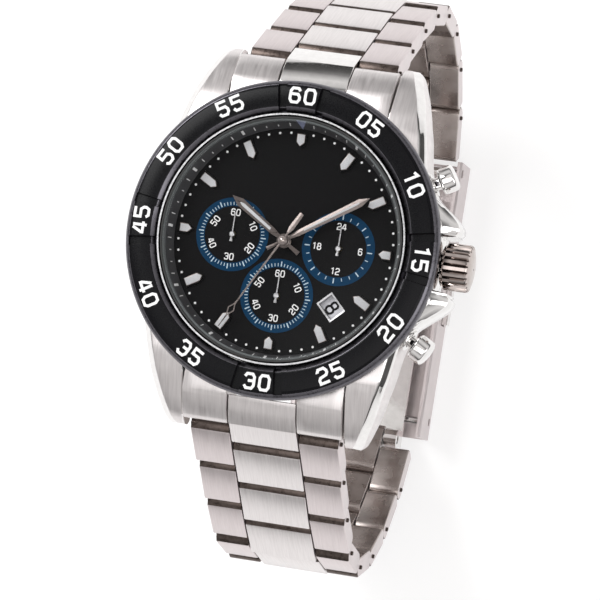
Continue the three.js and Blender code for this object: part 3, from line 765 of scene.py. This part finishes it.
frames, fills = Builder(), Builder()
for hour in range(12):
    index_r, length = (13.45, 2.0) if hour % 3 == 0 else (13.05, 2.8)
    out, side = clock_axes(hour * 30)

    def ring(shrink, z, r=index_r, length=length, out=out, side=side):
        """An index's outline, pointed toward the dial's middle, at one height."""
        top, low = r + length / 2 - shrink, r - length / 2 + shrink * 1.3
        h = INDEX_HALF - shrink
        points = [(-h, top), (-h, low + h), (0, low), (h, low + h), (h, top)]
        return [(*(side * across + out * along), z) for across, along in points]

    frames.loft([ring(0, DIAL_Z), ring(0, DIAL_Z + 0.36), ring(0.17, DIAL_Z + 0.46)])
    fills.loft([ring(0.22, DIAL_Z + 0.4), ring(0.22, DIAL_Z + 0.48), ring(0.28, DIAL_Z + 0.5)])
frames.finish("index_frames", hand_steel, "head", slot="hand_steel")
fills.finish("index_fills", lume_white, "head", slot="lume")


GROOVE_STEP = 0.14  # from one ring-shaped groove of a small dial to the next


def subdial(name, centre, divisions, long_every, labels):
    """A small dial: a blue ring with ticks, a grooved black centre and its numerals.

    labels are rows of text, its angle round the dial, and the angle it is turned by.
    """
    ring_low, ring_high = DIAL_Z - 0.01, DIAL_Z + 0.05
    cx, cy = centre

    def at(p):
        return (p[0] + cx, p[1] + cy, p[2])

    builder = Builder()
    profile = [(3.77, ring_low), (4.86, ring_low), (4.88, ring_high), (3.75, ring_high)]
    turned_shell(builder, profile, 96, place=at)
    builder.finish(f"{name}_ring", blue_ring, "head", slot="blue_ring")
    builder = Builder()
    grooves = []
    r = 3.66
    while r > 0.7:
        grooves += [(r, DIAL_Z + 0.03), (r - GROOVE_STEP / 2, DIAL_Z + 0.005)]
        r -= GROOVE_STEP
    profile = [(r, DIAL_Z - 0.02), (3.68, DIAL_Z - 0.02)] + grooves
    turned_shell(builder, profile, 72, place=at)
    builder.finish(f"{name}_centre", dial_black, "head", sharp_deg=80, slot="dial_black")
    marks = Builder()
    for i in range(divisions):
        long = i % long_every == 0
        r1, width = (4.55, 0.15) if long else (4.3, 0.1)
        angle = i * 360 / divisions
        radial_mark(marks, centre, angle, 3.88, r1, width, ring_high - 0.02, ring_high + 0.02)
    marks.finish(f"{name}_ticks", blue_print, "head", slot="white_print")
    marks = Builder()
    for text, angle, turn in labels:
        x, y = clock_point(2.95, angle)
        write(
            marks,
            text,
            (cx + x, cy + y),
            turn,
            height=0.8, digit_width=0.46, pitch=0.7, width=0.13,
            low=DIAL_Z + 0.01, high=DIAL_Z + 0.06,
        )
    marks.finish(f"{name}_print", print_white, "head", slot="white_print")


sixty = [("60", 0, 0), ("10", 60, 60), ("20", 120, -60)]
sixty += [("30", 180, 0), ("40", 240, 60), ("50", 300, -60)]
twenty_four = [("24", 0, 0), ("6", 90, 0), ("12", 180, 0), ("18", 270, 0)]
subdial("minutes_dial", LEFT, 60, 5, sixty)
subdial("seconds_dial", BOTTOM, 60, 5, sixty)
subdial("hours_dial", RIGHT, 24, 3, twenty_four)

# The date window's frame, and the day's number on the date ring under it.
DATE_ANGLE = 136.0
DATE_R = 10.7
DATE_RING_Z = 7.3
date_out, date_side = clock_axes(DATE_ANGLE)


def date_point(along, across, z):
    p = date_out * (DATE_R + along) + date_side * across
    return (p.x, p.y, z)


# The frame's section: half its length along the radius, half its width, and height.
date_section = [(1.55, 1.25, DIAL_Z), (1.55, 1.25, DIAL_Z + 0.1)]
date_section += [(1.33, 1.03, DIAL_Z + 0.04), (1.33, 1.03, DIAL_Z - 0.4)]
corner_signs = ((1, 1), (-1, 1), (-1, -1), (1, -1))
builder = Builder()
builder.loft(
    [[date_point(su * u, sv * v, z) for u, v, z in date_section] for su, sv in corner_signs],
    closed_path=True,
)
builder.finish("date_frame", index_steel, "head", slot="hand_steel")
builder = Builder()
plate = [date_point(u * 1.3, v * 1.0, 0)[:2] for u, v in corner_signs]
builder.loft([[(*p, z) for p in plate] for z in (DATE_RING_Z - 0.13, DATE_RING_Z)])
builder.finish("date_patch", date_grey, "date_ring", slot="white_print")
builder = Builder()
write(
    builder,
    "8",
    date_point(0, 0, 0)[:2],
    DATE_ANGLE - 90,
    height=1.7, digit_width=1.0, pitch=1.0, width=0.3,
    low=DATE_RING_Z - 0.02, high=DATE_RING_Z + 0.04,
)
builder.finish("date_number", bezel_black, "date_ring", slot="dial_black")


# ---- hands ----
def turned(points, angle, place=(0, 0)):
    """Points of a piece drawn along +Y, turned clockwise from 12 and moved to its place."""
    c, k = cos_sin(angle)
    return [(place[0] + x * c + y * k, place[1] - x * k + y * c, z) for x, y, z in points]


def roof_hand(builder, stations, low, edge, ridge, place, angle):
    """A hand with two facets meeting in a ridge: stations are (distance, half-width)."""
    sections = []
    for y, w in stations:
        ring = [(-w, y, low), (w, y, low), (w, y, edge), (0, y, ridge), (-w, y, edge)]
        sections.append(turned(ring, angle, place))
    builder.loft(sections)


def hub(builder, place, profile):
    cx, cy = place
    solid_of_revolution(builder, profile, 32, place=lambda p: (p[0] + cx, p[1] + cy, p[2]))


HOUR_ANGLE, MINUTE_ANGLE, SECONDS_ANGLE = 303.0, 56.4, 208.5
# Outlines as (distance, half-width). Each hand has its angle, height, outline, hub radius, and
# its luminous strip's start, end and half-width.
hour_outline = [(-2.6, 0.3), (-0.6, 0.2), (0.6, 0.2), (1.9, 0.42), (7.9, 0.58), (9.25, 0.02)]
minute_outline = [(-2.4, 0.26), (-0.6, 0.18), (0.6, 0.18), (2.2, 0.38), (11.3, 0.52), (12.7, 0.02)]
for name, angle, z, outline, hub_r, (fill_from, fill_to, fill_half) in (
    ("hour_hand", HOUR_ANGLE, 8.9, hour_outline, 0.95, (2.4, 7.8, 0.22)),
    ("minute_hand", MINUTE_ANGLE, 9.35, minute_outline, 0.85, (3.1, 11.2, 0.13)),
):
    builder = Builder()
    roof_hand(builder, outline, z, z + 0.06, z + 0.17, (0, 0), angle)
    turned_shell(
        builder,
        [(0.42, z), (hub_r, z), (hub_r, z + 0.12), (hub_r - 0.1, z + 0.18), (0.42, z + 0.18)],
        40,
    )
    hand = builder.finish(f"{name}_body", hand_steel, name, sharp_deg=12, slot="hand_steel")
    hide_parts(name)
    builder = Builder()
    strip = [(fill_from, fill_half * 0.8), (fill_to - 0.5, fill_half), (fill_to, 0.06)]
    sections = []
    for y, w in strip:
        ring = [(-w, z + 0.1), (w, z + 0.1), (w, z + 0.17), (0, z + 0.2), (-w, z + 0.17)]
        sections.append(turned([(x, y, h) for x, h in ring], angle))
    builder.loft(sections)
    builder.finish(f"{name}_lume", lume_white, name, slot="lume")

SECONDS_Z = 9.8
builder = Builder()
z = SECONDS_Z
for stations, ridge in (
    ([(-4.3, 0.3), (-1.9, 0.36), (-1.2, 0.14), (10.4, 0.1)], 0.1),
    ([(12.2, 0.1), (14.0, 0.05)], 0.09),
):
    roof_hand(builder, stations, z, z + 0.04, z + ridge, (0, 0), SECONDS_ANGLE)
# The open kite near its tip.
for sign in (-1, 1):
    kite = [(sign * 0.02, 10.35), (sign * 0.42, 11.2), (sign * 0.02, 12.25)]
    sections = []
    for x, y in kite:
        ring = [(x - 0.07, 0), (x + 0.07, 0), (x + 0.07, 0.08), (x - 0.07, 0.08)]
        sections.append(turned([(u, y, z + h) for u, h in ring], SECONDS_ANGLE))
    builder.loft(sections)
hub_profile = [(0, z), (0.66, z), (0.66, z + 0.1), (0.58, z + 0.16), (0.3, z + 0.18)]
hub(builder, (0, 0), hub_profile + [(0, z + 0.18)])
seconds = builder.finish(
    "seconds_hand_body", hand_steel, "chrono_seconds_hand", sharp_deg=12, slot="hand_steel"
)
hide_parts("chrono_seconds_hand")
builder = Builder()
pin_profile = [(0, z + 0.16), (0.3, z + 0.16), (0.3, z + 0.26), (0.22, z + 0.32)]
hub(builder, (0, 0), pin_profile + [(0, z + 0.34)])
builder.finish("seconds_hand_pin", warm_tone_and_painted_reflection, "chrono_seconds_hand", slot="hand_steel")

# The small dials' hands, pointing to 12.
small_hands = {"chrono_minutes_hand": LEFT, "small_seconds_hand": BOTTOM, "hour24_hand": RIGHT}
for name, place in small_hands.items():
    builder = Builder()
    roof_hand(builder, [(-0.95, 0.2), (-0.3, 0.1), (2.85, 0.07)], 8.36, 8.4, 8.45, place, 0)
    hub(builder, place, [(0, 8.34), (0.36, 8.34), (0.36, 8.5), (0.28, 8.56), (0, 8.56)])
    small = builder.finish(f"{name}_body", index_steel, name, sharp_deg=12, slot="hand_steel")
    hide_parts(name)


# ---- crown and pushers ----
CROWN_Z = 5.0


def radial_place(angle):
    """Turns a piece built about Z so that it points out from the case at the crown's height."""
    c, s = cos_sin(angle)

    def place(p):
        x, y, z = p
        return (z * c - y * s, z * s + y * c, CROWN_Z - x)

    return place


CROWN_FLUTES = 22
FLUTE_DEPTH = 0.34
place = radial_place(0)
# Distance from the dial's axis, radius, and share of the flutes' depth.
crown_profile = [
    (20.7, 1.75, 0), (20.7, 2.5, 0), (20.8, 2.7, 0), (21.05, 2.75, 0), (21.1, 2.95, 0.6),
    (21.3, 3.13, 1), (24.15, 3.13, 1), (24.4, 3.0, 0.9), (24.5, 2.75, 0.3), (24.55, 2.55, 0),
    (24.62, 2.3, 0), (24.76, 1.6, 0), (24.8, 0.7, 0), (24.8, 0.15, 0), (23.3, 0.1, 0),
    (23.3, 0.58, 0), (22.4, 0.58, 0), (22.4, 1.75, 0),
]
sections = []
face_kinds = []
STEPS = CROWN_FLUTES * 8
FLUTED_FACES = range(4, 8)  # the profile's edges that are dark with painted shade inside a flute
for i in range(STEPS):
    a = 2 * math.pi * i / STEPS
    wave = max(0.0, math.cos(a * CROWN_FLUTES)) ** 1.2 * FLUTE_DEPTH
    next_wave = max(0.0, math.cos((a + 2 * math.pi / STEPS) * CROWN_FLUTES))
    in_flute = wave > 0.02 and next_wave > 0.05
    sections.append(
        [
            place(((r - wave * share) * math.cos(a), (r - wave * share) * math.sin(a), d))
            for d, r, share in crown_profile
        ]
    )
    face_kinds += [1 if in_flute and j in FLUTED_FACES else 0 for j in range(len(crown_profile))]
builder = Builder()
builder.loft(sections, closed_path=True)
builder.kinds = face_kinds
crown = builder.finish(
    "crown_body", [warm_tone_and_painted_reflection, shade_painted_brown], "crown", sharp_deg=40, slot="polished_steel"
)
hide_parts("crown")

# Radius, and distance from the dial's axis.
pusher_profile = [
    (0, 18.5), (0.85, 18.5), (0.85, 21.6), (1.58, 21.6), (1.72, 21.68), (1.75, 21.8), (1.7, 21.9),
    (1.78, 22.0), (1.78, 23.35), (1.72, 23.52), (1.55, 23.67), (1.2, 23.77), (0.6, 23.8), (0, 23.8),
]
collar_profile = [
    (0.95, 17.8), (1.5, 17.8), (1.5, 20.0), (1.88, 20.0), (1.95, 20.08), (1.95, 20.45),
    (1.88, 20.52), (1.6, 20.56), (1.56, 20.74), (1.48, 20.8), (0.95, 20.8),
]
for name, angle in (("upper", 30), ("lower", -30)):
    place = radial_place(angle)
    builder = Builder()
    solid_of_revolution(builder, pusher_profile, 40, place=place)
    cap = builder.finish(
        f"pusher_{name}_body", polished_steel, f"pusher_{name}", slot="polished_steel"
    )
    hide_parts(f"pusher_{name}")
    builder = Builder()
    turned_shell(builder, collar_profile, 40, place=place)
    collar = builder.finish(f"pusher_collar_{name}", polished_steel, "head", slot="polished_steel")
    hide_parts(f"pusher_tube_{name}")

# ---- bracelet ----
PITCH = 8.4
HALF_T = 1.4
CENTRE_HALF = 4.6
INNER_X = 4.75
LINK_WIDTHS = [20.2, 19.6, 19.2, 18.8, 18.5, 18.2, 18.0, 18.0]
# How steeply each link goes down, in degrees, from the case on.
SLOPES = {
    "6": [56, 56, 60, 79, 103, 120, 136, 150],
    "12": [60, 61, 66, 80, 98, 118, 138, 156],
}
FIRST_HINGE = (24.9, 1.0)  # along Y, and Z
PAST, SHORT = 1.66, 1.86  # how far a row goes past a hinge, or stops short of it
KNUCKLE_R = 1.15  # its rounding against the wrist


def row_outline(start, end):
    """A link row's side outline: along the bracelet, and out from the wrist."""
    r = KNUCKLE_R
    slope = [(0.02, -1.2), (0.42, -0.66), (0.48, -0.52), (1.06, -0.07), (1.2, 0.0)]
    return (
        arc(end - 0.3, HALF_T - 0.3, 0.3, 90, 0, 3)
        + arc(end - r, -HALF_T + r, r, 0, -90, 5)
        + arc(start + r, -HALF_T + r, r, -90, -180, 5)
        + [(start + along, HALF_T + out) for along, out in slope]
    )


ROW_POINTS = len(row_outline(0, 8))
SLOPE_FACES = range(ROW_POINTS - 6, ROW_POINTS - 2)  # at the end nearest the case, dark brown as painted shade
INNER_FACES = range(4, ROW_POINTS - 6)  # against the wrist, darkened as painted shade
CENTRE_KINDS = [1 if j in SLOPE_FACES else 2 if j in INNER_FACES else 0 for j in range(ROW_POINTS)]
# The outer rows' faces take kind 3, the darker steel of painted shade.
SIDE_KINDS = [kind or 3 for kind in CENTRE_KINDS]
LINK_FINISHES = [brushed_steel, shade_painted_brown, wrist_face_shade_painted, outer_row_and_clasp_shade_painted]
LINK_EDGE = 0.16
PIN_R, PIN_END_R = 0.6, 0.3


def pin(builder, s, x0, x1, radius):
    """A round pin across the bracelet, its ends chamfered."""
    profile = [(0, x0), (radius - 0.08, x0), (radius, x0 + 0.08)]
    profile += [(radius, x1 - 0.08), (radius - 0.08, x1), (0, x1)]
    # Kind 1: the pins take the links' dark brown painted shade.
    solid_of_revolution(builder, profile, 16, 1, lambda p: (p[2], s + p[0], p[1]))


def link_matrix(hinge, slope, side):
    """From a link's own frame (X across, Y along, Z out) to the watch's."""
    c, k = cos_sin(slope)
    along = Vector((0, side * c, -k))
    out = Vector((0, side * k, c))
    across = along.cross(out)
    m = Matrix((across, along, out)).transposed().to_4x4()
    m.translation = Vector((0, side * hinge[0], hinge[1])) * MM
    return m


for label, side in (("6", -1), ("12", 1)):
    hinge = FIRST_HINGE
    for i, slope in enumerate(SLOPES[label]):
        name = f"link_{label}_{i + 1}"
        half = LINK_WIDTHS[i] / 2
        builder = Builder()
        outer = row_outline(-PAST, PITCH - SHORT)
        for x0, x1 in ((INNER_X, half), (-half, -INNER_X)):
            rounded_prism(builder, outer, x0, x1, LINK_EDGE, SIDE_KINDS, 3)
        centre = row_outline(SHORT, PITCH + PAST)
        rounded_prism(builder, centre, -CENTRE_HALF, CENTRE_HALF, LINK_EDGE, CENTRE_KINDS)
        pin(builder, PITCH / 2, 0.5 - half, half - 0.5, PIN_R)
        if side < 0 or i > 0:
            pin(builder, 0, 0.5 - half, half - 0.5, PIN_R)
        for x in (-half, half):
            pin(builder, 0, x - 0.3, x + 0.3, PIN_END_R)
        matrix = link_matrix(hinge, slope, side)
        link = builder.finish(
            f"{name}_rows", LINK_FINISHES, name, matrix=matrix, slot="brushed_steel"
        )
        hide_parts(name)
        c, k = cos_sin(slope)
        hinge = (hinge[0] + PITCH * c, hinge[1] - PITCH * k)

# End links: two wings and a centre whose knuckle carries the first hinge.
WING_R = 20.62
for label, side in (("12", 1), ("6", -1)):
    slope = SLOPES[label][0]
    c, k = cos_sin(slope)

    def turn(points, side=side, c=c, k=k):
        """From the first hinge's own (along, out) to Y and Z."""
        y, z = FIRST_HINGE
        return [(side * (y + s * c + n * k), z - s * k + n * c) for s, n in points]

    def wing_section(x, depth):
        """A wing's outline in Y and Z at one x: its inner end follows the round case."""
        y_in = math.sqrt(WING_R**2 - x**2)
        outline = [(y_in, 7.45), (20.7, 7.4), (21.4, 7.0), (22.7, 6.05), (24.0, 4.95)]
        outline += [(24.42, 4.4), (24.5, 4.0), (24.4, 3.6), (23.9, 3.1)]
        outline += [(23.2, 2.5), (22.7, 1.7), (22.2, 1.2), (y_in, 1.4)]
        ring = inset(outline, depth) if depth else outline
        return [(x, side * y, z) for y, z in ring]

    middle = [(side * y, z) for y, z in ((20.75, 6.5), (20.85, 6.75), (21.4, 6.65), (23.0, 5.75))]
    middle += [(side * 24.5, 4.35)]
    middle += turn([(-2.9, HALF_T)])
    middle += turn(arc(PAST - 0.8, HALF_T - 0.8, 0.8, 90, 0, 5))
    middle += turn(arc(PAST - KNUCKLE_R, -HALF_T + KNUCKLE_R, KNUCKLE_R, 0, -90, 5))
    middle += turn([(-0.6, -HALF_T)])
    middle += [(side * 22.6, 1.1), (side * 20.75, 1.4)]
    builder = Builder()
    for sign in (-1, 1):
        xs = (4.75, 4.8, 4.91, 6.3, 7.8, 9.3, 10.69, 10.8, 10.85)
        depths = (0.16, 0.05, 0, 0, 0, 0, 0, 0.05, 0.16)
        builder.loft([wing_section(sign * x, depth) for x, depth in zip(xs, depths)])
    rounded_prism(builder, middle, -CENTRE_HALF, CENTRE_HALF, 0.12, kind=1 if side > 0 else 0)
    end_link = builder.finish(
        f"end_link_{label}_body", [brushed_steel, polished_steel], "head", slot="brushed_steel"
    )
    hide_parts(f"end_link_{label}")


# ---- folding clasp ----
def soften(node, width):
    """Rounds the edges of a CAD node that keeps its own shape."""
    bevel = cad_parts[node].modifiers.new("edges", "BEVEL")
    bevel.width = width * MM
    bevel.segments = 3
    bevel.limit_method = "ANGLE"
    bevel.angle_limit = math.radians(40)


for node in ("clasp_cover", "clasp_button_left", "clasp_button_right"):
    soften(node, 0.18)

# ---- floor, light and camera ----
FLOOR_Z = -60.5
FLOOR_HALF = 3.0  # metres
corners = ((-1, -1), (1, -1), (1, 1), (-1, 1))
points = [(x * FLOOR_HALF, y * FLOOR_HALF, FLOOR_Z * MM) for x, y in corners]
floor_mesh = bpy.data.meshes.new("floor")
floor_mesh.from_pydata(points, [], [(0, 1, 2, 3)])
floor = bpy.data.objects.new("floor", floor_mesh)
paper = new_material("floor_paper", (0.5, 0.5, 0.5), 0.0, 0.9, Specular_IOR_Level=0.0)
sockets = paper.node_tree.nodes["Principled BSDF"].inputs
sockets["Emission Color"].default_value = (1, 1, 1, 1)
sockets["Emission Strength"].default_value = 0.57
floor_mesh.materials.append(paper)
SCENE.collection.objects.link(floor)


def area_light(name, place, target, size, power):
    data = bpy.data.lights.new(name, "AREA")
    data.shape = "RECTANGLE"
    data.size, data.size_y = size
    data.energy = power
    obj = bpy.data.objects.new(name, data)
    obj.location = place
    aim = Vector(target) - Vector(place)
    obj.rotation_euler = aim.to_track_quat("-Z", "Y").to_euler()
    SCENE.collection.objects.link(obj)


area_light("key", (-0.4, 0.3, 0.55), (0, 0, -0.01), (0.35, 0.5), 3.6)
area_light("fill", (0.5, -0.1, 0.4), (0, 0, -0.02), (0.25, 0.5), 0.9)
area_light("top", (0.0, -0.1, 0.5), (0, -0.02, 0), (0.5, 0.3), 0.55)

# The studio: white walls, with a darker ceiling over the watch that its faces reflect.
world = bpy.data.worlds.new("studio")
SCENE.world = world
world.use_nodes = True
nodes, links = world.node_tree.nodes, world.node_tree.links
background = nodes["Background"]
background.inputs["Strength"].default_value = 1.0
direction = nodes.new("ShaderNodeTexCoord")
split = nodes.new("ShaderNodeSeparateXYZ")
links.new(direction.outputs["Generated"], split.inputs["Vector"])


def studio_ramp(output, low, high, stops):
    """Grey levels along one axis of the sky."""
    spread = nodes.new("ShaderNodeMapRange")
    spread.inputs["From Min"].default_value = low
    spread.inputs["From Max"].default_value = high
    ramp = nodes.new("ShaderNodeValToRGB")
    links.new(split.outputs[output], spread.inputs["Value"])
    links.new(spread.outputs["Result"], ramp.inputs["Fac"])
    elements = ramp.color_ramp.elements
    while len(elements) < len(stops):
        elements.new(0.5)
    for element, (place, level) in zip(elements, stops):
        element.position = place
        element.color = (level, level * 0.985, level * 0.98, 1.0)
    return ramp


def combine(kind, first, second):
    node = nodes.new("ShaderNodeMixRGB")
    node.blend_type = kind
    node.inputs["Fac"].default_value = 1.0
    links.new(first.outputs["Color"], node.inputs["Color1"])
    links.new(second.outputs["Color"], node.inputs["Color2"])
    return node


wall_stops = ((0.0, 0.05), (0.12, 0.12), (0.3, 0.5), (0.5, 0.82))
ceiling_stops = ((0.72, 0.7), (0.84, 0.22), (0.92, 0.03), (1.0, 0.02))
walls = studio_ramp("Z", 0.0, 1.0, wall_stops + ceiling_stops)
overhead = studio_ramp("Z", 0.8, 1.0, ((0.2, 0.0), (0.6, 1.0)))
card = studio_ramp("X", -0.3, 0.5, ((0.12, 0.0), (0.28, 0.9), (0.6, 0.9), (1.0, 0.2)))
sky = combine("ADD", walls, combine("MULTIPLY", overhead, card))
links.new(sky.outputs["Color"], background.inputs["Color"])

# The camera, about the middle of the bezel's numerals: degrees, and millimetres.
CAMERA_AZIMUTH = 12.906
CAMERA_ELEVATION = -4.26
CAMERA_ROLL = 9.098
CAMERA_DISTANCE = 528.07
CAMERA_SHIFT_X, CAMERA_SHIFT_Y = 2.652, -8.008
NUMERAL_PLANE_Z = 11.5
az, el = math.radians(CAMERA_AZIMUTH), math.radians(CAMERA_ELEVATION)
roll = math.radians(CAMERA_ROLL)
toward = Vector((math.sin(az) * math.cos(el), math.sin(el), math.cos(az) * math.cos(el)))
right = Vector((0, 1, 0)).cross(toward).normalized()
up = toward.cross(right)
camera_x = right * math.cos(roll) + up * math.sin(roll)
camera_y = up * math.cos(roll) - right * math.sin(roll)
centre = camera_x * CAMERA_SHIFT_X + camera_y * CAMERA_SHIFT_Y + toward * CAMERA_DISTANCE
centre.z += NUMERAL_PLANE_Z
data = bpy.data.cameras.new("camera")
data.sensor_width = 36.0
data.lens = 243.4
data.clip_start = 0.01
data.clip_end = 20.0
camera = bpy.data.objects.new("camera", data)
pose = Matrix((camera_x, camera_y, toward)).transposed().to_4x4()
pose.translation = centre * MM
camera.matrix_world = pose
SCENE.collection.objects.link(camera)
SCENE.camera = camera
